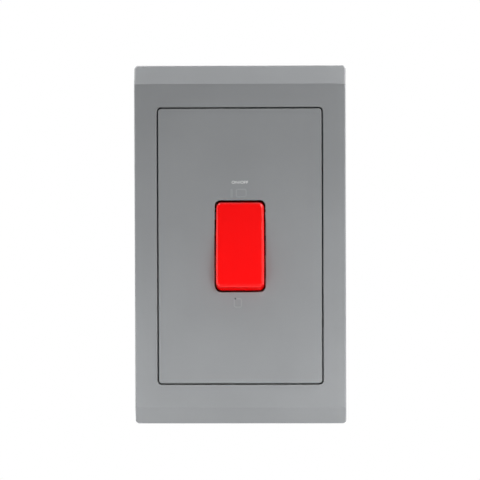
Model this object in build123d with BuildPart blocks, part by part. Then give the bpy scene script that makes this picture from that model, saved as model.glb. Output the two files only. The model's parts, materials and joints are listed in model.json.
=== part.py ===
from build123d import *

import math
import os

os.makedirs("parts", exist_ok=True)

# Double pole switch on a vertical two-gang plate, all sizes in millimetres.
# The wall is the plane Y = 0, +Z is up and +X is right for someone in the room, who is at -Y.
# A height is measured from the wall towards the room, so a negative height lies in the wall box.

# Outer frame
plate_width = 86.0
plate_height = 146.0
plate_corner = 1.5
face_height = 9.0
slope_edge_height = 5.2
top_slope = 7.35
bottom_slope = 6.7
frame_rise = 0.4
frame_side = 9.15
frame_end = 16.475
frame_wall = 2.0
frame_edge = 0.7
frame_lip_wall = 1.4
frame_lip_depth = 3.6
crown_margin = 0.9
crown_drop = 0.45
pry_notch_width = 8.0
pry_notch_depth = 1.4

# Front panel
panel_corner = 1.3
panel_gap = 0.6
panel_wall = 2.2
panel_skirt_wall = 1.2
panel_edge = 0.25
panel_rib_wall = 1.2
panel_rib_depth = 1.6
panel_rib_z = 32.0

# Rocker cap and cradle, measured from the pivot axis
pivot_height = 4.5
rocker_throw = 14.0
rocker_width = 19.6
rocker_swing_radius = 18.5
rocker_face = 6.6
rocker_foot = 0.8
rocker_wall = 2.0
rocker_side_wall = 1.6
rocker_corner = 2.2
rocker_edge = 1.3
rocker_side_gap = 0.55
rocker_end_gap = 0.2
rocker_rib_wall = 1.4
window_corner = 2.4
snap_radius = 0.4
snap_length = 9.0
cradle_front = 1.4
cradle_back = 2.2
cradle_half_depth = 4.0
cradle_block_half_length = 7.2
cradle_fit = 0.1
pin_diameter = 4.0
pin_clearance = 0.05
bearing_wall = 3.0
bearing_half_depth = 5.0
bearing_side_gap = 0.4
bearing_split = 0.2

# Plungers and springs, measured from the pivot axis
pole_offset = 10.0
tube_diameter = 6.6
tube_bore = 4.6
tube_reach = 9.5
tube_floor = 1.5
plunger_diameter = 4.4
plunger_reach = 14.0
plunger_tip_radius = 1.8
plunger_collar = 6.0
plunger_neck = 11.2
plunger_stem_diameter = 2.0
plunger_stem_top = 3.4
spring_wire = 0.55
spring_wire_sides = 8
spring_diameter = 4.2
spring_turns = 3.5
spring_seat_gap = 0.05

# Contacts
contact_throw = 15.0
contact_height = -11.3
contact_crest_radius = 0.9
contact_groove_clearance = 0.05
blade_back = 0.35
blade_thickness = 1.4
blade_width = 7.0
blade_upper = 14.6
blade_lower = 9.0
blade_corner = 2.4
tip_arm = 12.0
tip_diameter = 4.0
tip_height = 1.0
tip_dome_radius = 5.0
tip_shank_diameter = 2.0
tip_shank_clearance = 0.05
tip_head_diameter = 3.2
tip_head_height = 0.35
fixed_tip_diameter = 4.6
fixed_tip_height = 0.9
closed_gap = 0.08
strip_thickness = 1.4
strip_width = 7.0
strip_start = 9.4

# Terminals
terminal_width = 13.0
terminal_length = 12.5
terminal_front = 6.8
terminal_back = 19.0
terminal_bore = 6.0
terminal_edge = 0.6
terminal_screw_diameter = 4.0
terminal_screw_pitch = 6.0
terminal_screw_clearance = 0.05
terminal_screw_backoff = 0.3
terminal_head_diameter = 5.2
terminal_head_height = 2.2
screw_slot_width = 0.9
screw_slot_depth = 0.8
earth_width = 14.0
earth_length = 8.4
earth_depth = 11.0
earth_bore = 4.6
earth_bore_depth = 7.2
earth_drop = 47.0
earth_screw_diameter = 3.5
earth_screw_pitch = 7.0
earth_head_diameter = 5.0
earth_head_height = 2.0
earth_fit = 0.1
earth_holder_wall = 1.4
earth_holder_depth = 4.0

# Switch housing
chamber_side_gap = 1.2
chamber_width = 17.6
chamber_half_length = 19.0
housing_partition = 2.5
housing_end_recess = 1.0
housing_floor = 2.4
housing_corner = 1.5
housing_edge = 0.8
barrier_drop = 3.0
terminal_fit = 0.1
terminal_roof = 2.0
strip_slot_fit = 0.15
access_clearance = 0.3
flange_wall = 2.0
flange_margin = 4.4
flange_corner = 3.0
fin_wall = 2.0
fin_reach = 4.0
housing_screw_gap = 3.4
housing_screw_z = 26.0
housing_screw_diameter = 2.9
housing_screw_length = 5.6
housing_screw_clearance = 0.05
housing_head_diameter = 5.4
housing_head_height = 1.8
housing_screw_tip_gap = 0.2

# Mounting plate and fixing screws
carrier_gap = 1.0
carrier_wall = 2.0
carrier_rim_height = 1.4
carrier_rim_wall = 1.4
carrier_corner = 2.0
carrier_opening_gap = 0.5
carrier_opening_height = 46.0
carrier_boss_diameter = 5.0
carrier_boss_gap = 0.8
carrier_rib_wall = 1.2
carrier_rib_gap = 0.4
carrier_rib_space = 2.0
carrier_rib_z = 36.0
fixing_pitch = 120.6
fixing_thread_diameter = 3.5
fixing_neck_diameter = 3.0
fixing_head_diameter = 6.6
fixing_head_angle = 90.0
fixing_head_sink = 0.15
fixing_seat_clearance = 0.08
fixing_hole_clearance = 0.15
fixing_length = 22.0
fixing_point = 1.0
fixing_slot_width = 1.0
fixing_slot_depth = 0.9

# Snap tongues
tongue_wall = 1.2
tongue_width = 7.0
tongue_barb = 0.7
tongue_slack = 0.15
tongue_flex = 0.9
tongue_inset = 4.2
tongue_tip = 0.35
frame_tongue_z = 30.0
panel_tongue_x = 18.0
panel_tongue_inset = 1.0

# Levels and places that follow from the sizes above
upright_tolerance = 0.001
front = Plane.XZ
side = Plane(origin=(0, 0, 0), x_dir=(0, -1, 0), z_dir=(-1, 0, 0))
frame_low = frame_rise - plate_height / 2
frame_high = frame_rise + plate_height / 2
frame_window_width = plate_width - 2 * frame_side
frame_window_height = plate_height - 2 * frame_end
frame_window_corner = panel_corner + panel_gap
panel_width = frame_window_width - 2 * panel_gap
panel_height = frame_window_height - 2 * panel_gap
panel_back = face_height - panel_wall
crown_start = plate_width / 2 - frame_side + crown_margin
frame_outline = (
    (slope_edge_height, frame_high),
    (face_height, frame_high - top_slope),
    (face_height, frame_low + bottom_slope),
    (slope_edge_height, frame_low),
)
window_width = rocker_width + 2 * rocker_side_gap
window_height = 2 * (rocker_swing_radius + rocker_end_gap)
carrier_front = carrier_rim_height + carrier_wall
carrier_width = plate_width - 2 * (frame_wall + carrier_gap)
carrier_height = plate_height - 2 * (frame_wall + carrier_gap + frame_rise)
chamber_outer = chamber_side_gap + chamber_width
housing_half_width = chamber_outer + bearing_wall
housing_screw_x = housing_half_width + housing_screw_gap
flange_width = 2 * (housing_screw_x + flange_margin)
flange_height = 2 * (housing_screw_z + flange_margin)
arm_end = chamber_outer - bearing_side_gap
pin_end = housing_half_width - bearing_side_gap
terminal_start = chamber_half_length + housing_partition
terminal_end = terminal_start + terminal_length
terminal_middle = (terminal_start + terminal_end) / 2
housing_half_length = terminal_end + housing_end_recess
tip_face = blade_back - tip_height
blade_front = blade_back + blade_thickness

# The moving tip's dome centre at the closed end of its throw sets the height of the fixed tip
half_throw = math.radians(contact_throw / 2)
dome_centre = tip_face + tip_dome_radius
dome_drop = tip_arm * math.sin(half_throw) - dome_centre * math.cos(half_throw) + tip_dome_radius
fixed_tip_z = tip_arm * math.cos(half_throw) + dome_centre * math.sin(half_throw)
fixed_tip_face = contact_height - dome_drop - closed_gap
strip_front = fixed_tip_face - fixed_tip_height
strip_back = strip_front - strip_thickness
chamber_floor = strip_back
housing_back = chamber_floor - housing_floor
terminal_pocket_back = -terminal_back - terminal_fit
terminal_housing_back = terminal_pocket_back - housing_floor
terminal_bore_height = strip_front + terminal_bore / 2
tongue_catch = carrier_rim_height - tongue_slack
tongue_slot_wall = tongue_wall + tongue_slack + tongue_flex
tongue_slot_width = tongue_width + 2 * tongue_slack
tongue_slot_shift = (tongue_flex - tongue_slack) / 2
carrier_rib_x = flange_width / 2 + carrier_rib_space
carrier_rib_half_length = frame_tongue_z - tongue_slot_width / 2 - carrier_rib_wall
frame_tongue_x = plate_width / 2 - frame_wall - tongue_inset
panel_tongue_z = panel_height / 2 - panel_skirt_wall - panel_tongue_inset - tongue_wall / 2
housing_screw_tip = carrier_rim_height - flange_wall + housing_screw_length
earth_front = carrier_rim_height
earth_back = earth_front - earth_depth
earth_bore_height = earth_front - earth_bore_depth


def tilted(plane, height, angle):
    # The same plane at a pivot, turned about the pivot's axis
    moved = Plane(origin=(0, -height, 0), x_dir=plane.x_dir, z_dir=plane.z_dir)
    return moved.rotated((angle, 0, 0))


def beside(plane, x):
    # The same plane moved sideways to a pole
    return Plane(origin=plane.origin + Vector(x, 0, 0), x_dir=plane.x_dir, z_dir=plane.z_dir)


def slope_profile(rear, inset):
    # Side view of the frame: sloped strips above and below a flat face
    with BuildSketch(side) as profile:
        with BuildLine():
            Polyline((rear, frame_high), *frame_outline, (rear, frame_low), close=True)
        make_face()
        if inset:
            offset(amount=-inset, kind=Kind.INTERSECTION, mode=Mode.REPLACE)
    return profile.sketch


def crown_profile(plane):
    # Cross section of the frame behind a plane: level in the middle, curving back towards both sides
    half = plate_width / 2
    with BuildSketch(plane) as profile:
        with BuildLine():
            Line((half, -plate_height), (half, -crown_drop))
            TangentArc((crown_start, 0), (half, -crown_drop), tangent=(1, 0))
            Line((crown_start, 0), (0, 0))
            mirror(about=Plane.YZ)
            Line((half, -plate_height), (-half, -plate_height))
        make_face()
    return profile.sketch


def rocker_profile(swing, face, foot):
    # Side view of the rocker: a flat face between two ends that are arcs about the pivot
    face_half = math.sqrt(swing**2 - face**2)
    foot_half = math.sqrt(swing**2 - foot**2)
    with BuildSketch(rocker_side) as profile:
        with BuildLine():
            Line((face, -face_half), (face, face_half))
            RadiusArc((face, face_half), (foot, foot_half), swing)
            Line((foot, foot_half), (foot, -foot_half))
            RadiusArc((foot, -foot_half), (face, -face_half), swing)
        make_face()
    return profile.sketch


def tongue_profile(plane, middle, root):
    # A springy leg whose barb catches behind the mounting plate
    inner = middle - tongue_wall / 2
    outer = middle + tongue_wall / 2
    with BuildSketch(plane) as profile:
        with BuildLine():
            Polyline(
                (outer, root),
                (outer, tongue_tip),
                (inner, tongue_tip),
                (inner - tongue_barb, tongue_catch),
                (inner, tongue_catch),
                (inner, root),
                close=True,
            )
        make_face()
    return profile.sketch


def keep(piece, name):
    piece.part.label = name
    export_step(piece.part, f"parts/{name}.step")


# Rest is the off position: the top of the rocker is pressed in and the blades stand clear
rocker_front = tilted(front, pivot_height, -rocker_throw / 2)
rocker_side = tilted(side, pivot_height, -rocker_throw / 2)
contact_front = tilted(front, contact_height, contact_throw / 2)
contact_side = tilted(side, contact_height, contact_throw / 2)

# Outer frame: hollow surround that snaps over the mounting plate and hides its screws,
# with a notch for prying it off in the middle of its lower edge
frame_hollow = slope_profile(-2 * frame_wall, frame_wall)

with BuildPart() as outer_frame:
    extrude(slope_profile(0, 0), amount=plate_width / 2, both=True)
    with BuildSketch(front):
        with Locations((0, frame_rise)):
            RectangleRounded(plate_width, plate_height, plate_corner)
    extrude(amount=face_height, mode=Mode.INTERSECT)
    for (high_level, high_z), (low_level, low_z) in zip(frame_outline, frame_outline[1:]):
        downward = Plane(
            origin=(0, -high_level, high_z),
            x_dir=(1, 0, 0),
            z_dir=(0, high_level - low_level, low_z - high_z),
        )
        extrude(crown_profile(downward), amount=plate_height, both=True, mode=Mode.INTERSECT)
    frame_walls = outer_frame.faces().filter_by(lambda face: abs(face.normal_at().Y) < upright_tolerance)
    frame_rim = frame_walls.edges().filter_by(Axis.Y, reverse=True)
    fillet(frame_rim.filter_by(lambda edge: edge.center().Y < 0), frame_edge)
    extrude(frame_hollow, amount=plate_width / 2 - frame_wall, both=True, mode=Mode.SUBTRACT)
    with BuildSketch(front.offset(face_height - frame_lip_depth)):
        RectangleRounded(
            frame_window_width + 2 * frame_lip_wall,
            frame_window_height + 2 * frame_lip_wall,
            frame_window_corner + frame_lip_wall,
        )
    extrude(amount=frame_lip_depth - frame_wall / 2)
    for hand in (-1, 1):
        for leg_z in (-frame_tongue_z, frame_tongue_z):
            frame_leg = Plane(origin=(0, 0, leg_z), x_dir=(hand, 0, 0), z_dir=(0, 0, -hand))
            extrude(
                tongue_profile(frame_leg, frame_tongue_x, face_height - frame_wall / 2),
                amount=tongue_width / 2,
                both=True,
            )
    with BuildSketch(front):
        RectangleRounded(frame_window_width, frame_window_height, frame_window_corner)
    extrude(amount=face_height, mode=Mode.SUBTRACT)
    with BuildSketch(front):
        with Locations((0, frame_low)):
            Rectangle(pry_notch_width, 2 * (frame_wall + carrier_gap))
    extrude(amount=pry_notch_depth, mode=Mode.SUBTRACT)
    frame_face = outer_frame.faces().filter_by(Axis.Y).sort_by(Axis.Y)[0]
    fillet(frame_face.inner_wires().edges(), panel_edge)
keep(outer_frame, "outer_frame")

# Front panel: inset plate with the rocker window and the front halves of the pivot bearings
with BuildPart() as front_panel:
    with BuildSketch(front.offset(panel_back)):
        RectangleRounded(panel_width, panel_height, panel_corner)
        RectangleRounded(window_width, window_height, window_corner, mode=Mode.SUBTRACT)
    extrude(amount=panel_wall)
    panel_face = front_panel.faces().sort_by(Axis.Y)[0]
    fillet(panel_face.edges(), panel_edge)
    with BuildSketch(front.offset(carrier_front)):
        RectangleRounded(panel_width, panel_height, panel_corner)
        Rectangle(
            panel_width - 2 * panel_skirt_wall,
            panel_height - 2 * panel_skirt_wall,
            mode=Mode.SUBTRACT,
        )
    extrude(amount=panel_back - carrier_front)
    with BuildSketch(front.offset(panel_back - panel_rib_depth)):
        with GridLocations(0, 2 * panel_rib_z, 1, 2):
            Rectangle(panel_width - panel_skirt_wall, panel_rib_wall)
    extrude(amount=panel_rib_depth)
    with BuildSketch(front.offset(pivot_height + bearing_split / 2)):
        with GridLocations(2 * chamber_outer + bearing_wall, 0, 2, 1):
            Rectangle(bearing_wall, 2 * bearing_half_depth)
    extrude(amount=panel_back - pivot_height - bearing_split / 2)
    with BuildSketch(side):
        with Locations((pivot_height, 0)):
            Circle(pin_diameter / 2 + pin_clearance)
    extrude(amount=housing_half_width, both=True, mode=Mode.SUBTRACT)
    for leg_x in (-panel_tongue_x, panel_tongue_x):
        panel_leg = Plane(origin=(leg_x, 0, 0), x_dir=(0, 0, 1), z_dir=(1, 0, 0))
        extrude(
            tongue_profile(panel_leg, panel_tongue_z, panel_back),
            amount=tongue_width / 2,
            both=True,
        )
    mirror(about=Plane.XY)
keep(front_panel, "front_panel")

# Mounting plate: stands on the wall by its rim and carries everything else
with BuildPart() as mounting_plate:
    with BuildSketch(front):
        RectangleRounded(carrier_width, carrier_height, carrier_corner)
        Rectangle(
            carrier_width - 2 * carrier_rim_wall,
            carrier_height - 2 * carrier_rim_wall,
            mode=Mode.SUBTRACT,
        )
    extrude(amount=carrier_rim_height)
    with BuildSketch(front.offset(carrier_rim_height)):
        RectangleRounded(carrier_width, carrier_height, carrier_corner)
        Rectangle(
            2 * (housing_half_width + carrier_opening_gap),
            carrier_opening_height,
            mode=Mode.SUBTRACT,
        )
        with GridLocations(2 * (frame_tongue_x + tongue_slot_shift), 2 * frame_tongue_z, 2, 2):
            Rectangle(tongue_slot_wall, tongue_slot_width, mode=Mode.SUBTRACT)
        with GridLocations(2 * panel_tongue_x, 2 * (panel_tongue_z + tongue_slot_shift), 2, 2):
            Rectangle(tongue_slot_width, tongue_slot_wall, mode=Mode.SUBTRACT)
    extrude(amount=carrier_wall)
    with BuildSketch(front.offset(carrier_rib_gap)):
        with GridLocations(2 * carrier_rib_x, 0, 2, 1):
            Rectangle(carrier_rib_wall, 2 * carrier_rib_half_length)
        with GridLocations(0, 2 * carrier_rib_z, 1, 2):
            Rectangle(carrier_width - carrier_rim_wall, carrier_rib_wall)
    extrude(amount=carrier_rim_height - carrier_rib_gap)
    with BuildSketch(front.offset(carrier_front)):
        with GridLocations(2 * housing_screw_x, 2 * housing_screw_z, 2, 2):
            Circle(carrier_boss_diameter / 2)
    extrude(amount=panel_back - carrier_boss_gap - carrier_front)
    with BuildSketch(front.offset(carrier_rim_height)):
        with GridLocations(2 * housing_screw_x, 2 * housing_screw_z, 2, 2):
            Circle(housing_screw_diameter / 2 + housing_screw_clearance)
    extrude(
        amount=housing_screw_tip + housing_screw_tip_gap - carrier_rim_height,
        mode=Mode.SUBTRACT,
    )
    with Locations(front.offset(carrier_front)):
        with GridLocations(0, fixing_pitch, 1, 2):
            CounterSinkHole(
                fixing_thread_diameter / 2 + fixing_hole_clearance,
                fixing_head_diameter / 2 + fixing_head_sink + fixing_seat_clearance,
                counter_sink_angle=fixing_head_angle,
            )
    with BuildSketch(front.offset(earth_front)):
        with Locations((0, -earth_drop)):
            Rectangle(
                earth_width + 2 * (earth_fit + earth_holder_wall),
                earth_length + 2 * (earth_fit + earth_holder_wall),
            )
            Rectangle(earth_width + 2 * earth_fit, earth_length + 2 * earth_fit, mode=Mode.SUBTRACT)
    extrude(amount=-earth_holder_depth)
keep(mounting_plate, "mounting_plate")

# Fixing screws: captive countersunk screws into the wall box
with BuildPart() as fixing_screws:
    head_top = carrier_front - fixing_head_sink
    head_radius = fixing_head_diameter / 2
    neck_radius = fixing_neck_diameter / 2
    thread_radius = fixing_thread_diameter / 2
    screw_side = Plane(origin=(0, 0, fixing_pitch / 2), x_dir=side.x_dir, z_dir=side.z_dir)
    with BuildSketch(screw_side):
        with BuildLine():
            Polyline(
                (head_top, 0),
                (head_top, head_radius),
                (head_top - head_radius + neck_radius, neck_radius),
                (0, neck_radius),
                (0, thread_radius),
                (fixing_point - fixing_length, thread_radius),
                (-fixing_length, thread_radius - fixing_point),
                (-fixing_length, 0),
                close=True,
            )
        make_face()
    revolve(axis=Axis(screw_side.origin, screw_side.x_dir))
    with BuildSketch(front.offset(head_top)):
        with Locations((0, fixing_pitch / 2)):
            Rectangle(fixing_head_diameter, fixing_slot_width)
    extrude(amount=-fixing_slot_depth, mode=Mode.SUBTRACT)
    mirror(about=Plane.XY)
keep(fixing_screws, "fixing_screws")

# Rocker cap: a shell with a flat face, seated on the cradle's bar by two notches
rocker_inner_width = rocker_width - 2 * rocker_side_wall
rocker_underside = rocker_face - rocker_wall
snap_height = (cradle_front + rocker_underside) / 2
rib_middle = cradle_block_half_length + cradle_fit + rocker_rib_wall / 2
with BuildPart() as rocker:
    extrude(
        rocker_profile(rocker_swing_radius, rocker_face, rocker_foot),
        amount=rocker_width / 2,
        both=True,
    )
    fillet(rocker.edges().filter_by(GeomType.CIRCLE), rocker_corner)
    rocker_outward = Axis(rocker_front.origin, rocker_front.z_dir)
    fillet(rocker.faces().sort_by(rocker_outward)[-1].edges(), rocker_edge)
    extrude(
        rocker_profile(rocker_swing_radius - rocker_wall, rocker_underside, 0),
        amount=rocker_inner_width / 2,
        both=True,
        mode=Mode.SUBTRACT,
    )
    with BuildSketch(rocker_front.offset(cradle_front)):
        with GridLocations(0, 2 * rib_middle, 1, 2):
            Rectangle(rocker_inner_width, rocker_rib_wall)
    extrude(amount=rocker_underside - cradle_front)
    with BuildSketch(rocker_front.offset(rocker_foot)):
        Rectangle(rocker_width, 2 * (cradle_half_depth + cradle_fit))
    extrude(amount=cradle_front - rocker_foot, mode=Mode.SUBTRACT)
    with BuildSketch(rocker_side):
        with Locations((snap_height, 0)):
            with GridLocations(0, 2 * cradle_block_half_length, 1, 2):
                Circle(snap_radius + cradle_fit)
    extrude(amount=snap_length / 2 + cradle_fit, both=True, mode=Mode.SUBTRACT)
keep(rocker, "rocker")

# Rocker cradle: pivot bar with its two pins, the block under the cap and the two plunger tubes
with BuildPart() as rocker_cradle:
    with BuildSketch(rocker_side):
        with Locations(((cradle_front - cradle_back) / 2, 0)):
            Rectangle(cradle_front + cradle_back, 2 * cradle_half_depth)
    extrude(amount=arm_end, both=True)
    for hand in (-1, 1):
        with BuildSketch(beside(rocker_side, hand * arm_end)):
            Circle(pin_diameter / 2)
        extrude(amount=hand * (arm_end - pin_end))
    block_width = rocker_inner_width - 2 * cradle_fit
    with BuildSketch(rocker_front.offset(cradle_front)):
        Rectangle(block_width, 2 * cradle_block_half_length)
        Rectangle(
            block_width - 2 * rocker_wall,
            2 * (cradle_block_half_length - rocker_wall),
            mode=Mode.SUBTRACT,
        )
    extrude(amount=rocker_underside - cradle_front)
    with BuildSketch(rocker_side):
        with Locations((snap_height, 0)):
            with GridLocations(0, 2 * cradle_block_half_length, 1, 2):
                Circle(snap_radius)
    extrude(amount=snap_length / 2, both=True)
    with BuildSketch(rocker_front.offset(-tube_reach)):
        with GridLocations(2 * pole_offset, 0, 2, 1):
            Circle(tube_diameter / 2)
    extrude(amount=tube_reach)
    with BuildSketch(rocker_front.offset(-tube_reach)):
        with GridLocations(2 * pole_offset, 0, 2, 1):
            Circle(tube_bore / 2)
    extrude(amount=tube_reach - tube_floor, mode=Mode.SUBTRACT)
keep(rocker_cradle, "rocker_cradle")

# Switch housing: one chamber for each pole between two deeper ends that hold the terminals
with BuildPart() as switch_housing:
    with BuildSketch(side):
        with BuildLine():
            Polyline(
                (carrier_rim_height, -housing_half_length),
                (terminal_housing_back, -housing_half_length),
                (terminal_housing_back, -chamber_half_length),
                (housing_back, -chamber_half_length),
                (housing_back, chamber_half_length),
                (terminal_housing_back, chamber_half_length),
                (terminal_housing_back, housing_half_length),
                (carrier_rim_height, housing_half_length),
                close=True,
            )
        make_face()
    extrude(amount=housing_half_width, both=True)
    fillet(switch_housing.edges().filter_by(Axis.Y).group_by(SortBy.LENGTH)[-1], housing_corner)
    fillet(switch_housing.faces().group_by(Axis.Y)[-1].edges(), housing_edge)
    with BuildSketch(front.offset(carrier_rim_height - flange_wall)):
        RectangleRounded(flange_width, flange_height, flange_corner)
        with GridLocations(2 * housing_screw_x, 2 * housing_screw_z, 2, 2):
            Circle(housing_screw_diameter / 2 + housing_screw_clearance, mode=Mode.SUBTRACT)
    extrude(amount=flange_wall)
    with BuildSketch(front.offset(carrier_rim_height)):
        with GridLocations(2 * chamber_outer + bearing_wall, 0, 2, 1):
            Rectangle(bearing_wall, 2 * bearing_half_depth)
    extrude(amount=pivot_height - bearing_split / 2 - carrier_rim_height)
    with BuildSketch(side):
        with Locations((pivot_height, 0)):
            Circle(pin_diameter / 2 + pin_clearance)
    extrude(amount=housing_half_width, both=True, mode=Mode.SUBTRACT)
    with BuildSketch(front.offset(carrier_rim_height)):
        with GridLocations(2 * chamber_side_gap + chamber_width, 0, 2, 1):
            Rectangle(chamber_width, 2 * chamber_half_length)
    extrude(amount=chamber_floor - carrier_rim_height, mode=Mode.SUBTRACT)
    with BuildSketch(front.offset(carrier_rim_height)):
        Rectangle(2 * chamber_side_gap, 2 * chamber_half_length)
    extrude(amount=-barrier_drop, mode=Mode.SUBTRACT)
    terminal_pocket_front = terminal_fit - terminal_front
    with BuildSketch(front.offset(terminal_pocket_front)):
        with GridLocations(2 * pole_offset, terminal_start + housing_half_length, 2, 2):
            Rectangle(terminal_width + 2 * terminal_fit, housing_half_length - terminal_start)
    extrude(amount=terminal_pocket_back - terminal_pocket_front, mode=Mode.SUBTRACT)
    with BuildSketch(front.offset(carrier_rim_height)):
        with GridLocations(2 * chamber_side_gap + chamber_width, 2 * terminal_middle, 2, 2):
            Rectangle(chamber_width, terminal_length - housing_end_recess)
    extrude(amount=terminal_pocket_front + terminal_roof - carrier_rim_height, mode=Mode.SUBTRACT)
    strip_slot_top = contact_height + contact_crest_radius + strip_slot_fit
    with BuildSketch(front.offset(strip_slot_top)):
        with GridLocations(2 * pole_offset, chamber_half_length + terminal_start, 2, 2):
            Rectangle(strip_width + 2 * strip_slot_fit, housing_partition)
    extrude(amount=strip_back - strip_slot_top, mode=Mode.SUBTRACT)
    with BuildSketch(front.offset(terminal_housing_back)):
        with GridLocations(2 * pole_offset, 2 * terminal_middle, 2, 2):
            SlotCenterToCenter(
                terminal_screw_pitch,
                terminal_head_diameter + 2 * access_clearance,
                rotation=90,
            )
    extrude(amount=housing_floor, mode=Mode.SUBTRACT)
    with BuildSketch(front.offset(terminal_housing_back + housing_edge)):
        with GridLocations(0, 2 * housing_half_length, 1, 2):
            Rectangle(fin_wall, 2 * fin_reach)
    extrude(amount=terminal_pocket_front - terminal_housing_back - housing_edge)
keep(switch_housing, "switch_housing")

# Housing screws: pan heads behind the flange, tips in the mounting plate's bosses
with BuildPart() as housing_screws:
    flange_back = carrier_rim_height - flange_wall
    with BuildSketch(front.offset(flange_back)):
        with GridLocations(2 * housing_screw_x, 2 * housing_screw_z, 2, 2):
            Circle(housing_screw_diameter / 2)
    extrude(amount=housing_screw_length)
    with BuildSketch(front.offset(flange_back)):
        with GridLocations(2 * housing_screw_x, 2 * housing_screw_z, 2, 2):
            Circle(housing_head_diameter / 2)
    extrude(amount=-housing_head_height)
    with BuildSketch(front.offset(flange_back - housing_head_height)):
        with GridLocations(2 * housing_screw_x, 2 * housing_screw_z, 2, 2):
            Rectangle(housing_head_diameter, screw_slot_width)
            Rectangle(screw_slot_width, housing_head_diameter)
    extrude(amount=screw_slot_depth, mode=Mode.SUBTRACT)
keep(housing_screws, "housing_screws")

# Terminal screws: two in each block, reached through slots in the back of the housing
with BuildPart() as terminal_screws:
    thread_tip = strip_front - terminal_screw_backoff
    head_seat = -terminal_back - terminal_screw_backoff
    for block_z in (-terminal_middle, terminal_middle):
        screw_row = Plane(origin=(0, 0, block_z), x_dir=front.x_dir, z_dir=front.z_dir)
        with BuildSketch(screw_row.offset(thread_tip)):
            with GridLocations(2 * pole_offset, terminal_screw_pitch, 2, 2):
                Circle(terminal_screw_diameter / 2)
        extrude(amount=head_seat - thread_tip)
        with BuildSketch(screw_row.offset(head_seat)):
            with GridLocations(2 * pole_offset, terminal_screw_pitch, 2, 2):
                Circle(terminal_head_diameter / 2)
        extrude(amount=-terminal_head_height)
        with BuildSketch(screw_row.offset(head_seat - terminal_head_height)):
            with GridLocations(2 * pole_offset, terminal_screw_pitch, 2, 2):
                Rectangle(terminal_head_diameter, screw_slot_width)
        extrude(amount=screw_slot_depth, mode=Mode.SUBTRACT)
keep(terminal_screws, "terminal_screws")

# Earth terminal: brass block held in a pocket behind the mounting plate
with BuildPart() as earth_terminal:
    with BuildSketch(front.offset(earth_front)):
        with Locations((0, -earth_drop)):
            Rectangle(earth_width, earth_length)
    extrude(amount=-earth_depth)
    chamfer(earth_terminal.faces().sort_by(Axis.Y)[-1].edges(), terminal_edge)
    with BuildSketch(Plane.YZ):
        with Locations((-earth_bore_height, -earth_drop)):
            Circle(earth_bore / 2)
    extrude(amount=earth_width, both=True, mode=Mode.SUBTRACT)
    with BuildSketch(front.offset(earth_back)):
        with Locations((0, -earth_drop)):
            with GridLocations(earth_screw_pitch, 0, 2, 1):
                Circle(earth_screw_diameter / 2 + terminal_screw_clearance)
    extrude(amount=earth_bore_height - earth_back, mode=Mode.SUBTRACT)
keep(earth_terminal, "earth_terminal")

with BuildPart() as earth_screws:
    earth_thread_tip = earth_bore_height - earth_bore / 2 - terminal_screw_backoff
    earth_head_seat = earth_back - terminal_screw_backoff
    earth_row = Plane(origin=(0, 0, -earth_drop), x_dir=front.x_dir, z_dir=front.z_dir)
    with BuildSketch(earth_row.offset(earth_thread_tip)):
        with GridLocations(earth_screw_pitch, 0, 2, 1):
            Circle(earth_screw_diameter / 2)
    extrude(amount=earth_head_seat - earth_thread_tip)
    with BuildSketch(earth_row.offset(earth_head_seat)):
        with GridLocations(earth_screw_pitch, 0, 2, 1):
            Circle(earth_head_diameter / 2)
    extrude(amount=-earth_head_height)
    with BuildSketch(earth_row.offset(earth_head_seat - earth_head_height)):
        with GridLocations(earth_screw_pitch, 0, 2, 1):
            Rectangle(screw_slot_width, earth_head_diameter)
    extrude(amount=screw_slot_depth, mode=Mode.SUBTRACT)
keep(earth_screws, "earth_screws")

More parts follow.
